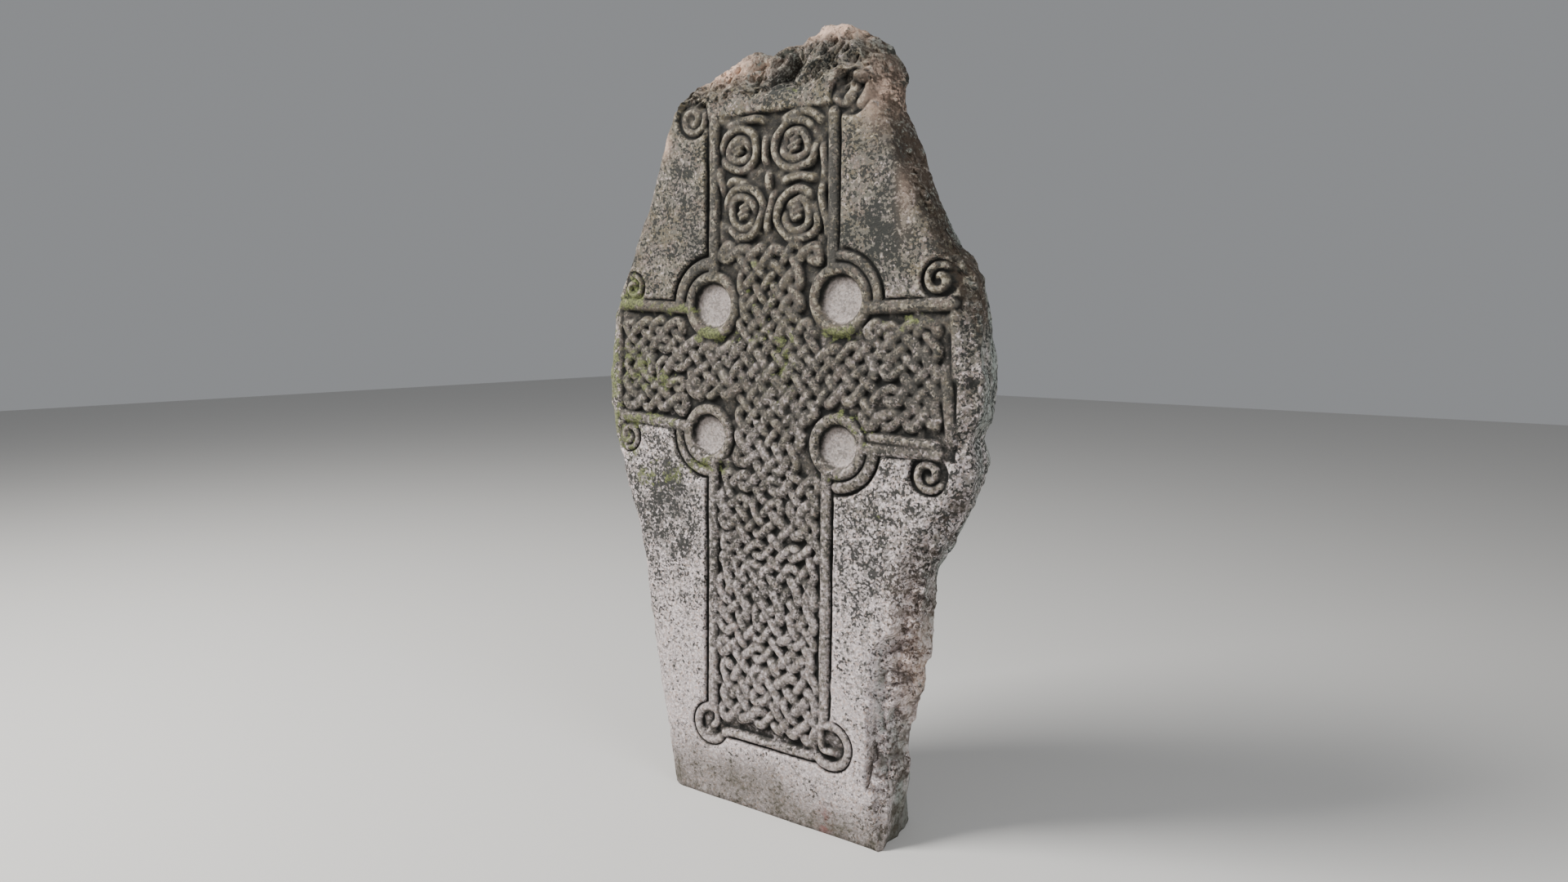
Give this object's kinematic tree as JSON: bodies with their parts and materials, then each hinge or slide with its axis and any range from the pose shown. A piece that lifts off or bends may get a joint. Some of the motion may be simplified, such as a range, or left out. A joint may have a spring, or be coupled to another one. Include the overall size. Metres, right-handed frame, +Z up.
{
  "type": "cross slab",
  "caption": "Tall upright granite slab with a broken top, carved on its front with a ringed cross in low relief, filled with interlace and framed by a roll moulding that ends in scrolls",
  "frame": {"origin": "on the ground under the middle of the slab, at the bottom centre of its bounding box", "axes": "+Z up the slab, +X to the right as the carved front is faced, +Y from the carved front towards the plain back"},
  "size_m": [1.084, 0.2144, 1.9156],
  "materials": {
    "granite": "weathered pink-grey granite, pecked and worn, with lichen and moss"
  },
  "bodies": {
    "root": {"cross_slab": "granite"}
  },
  "joints": []
}
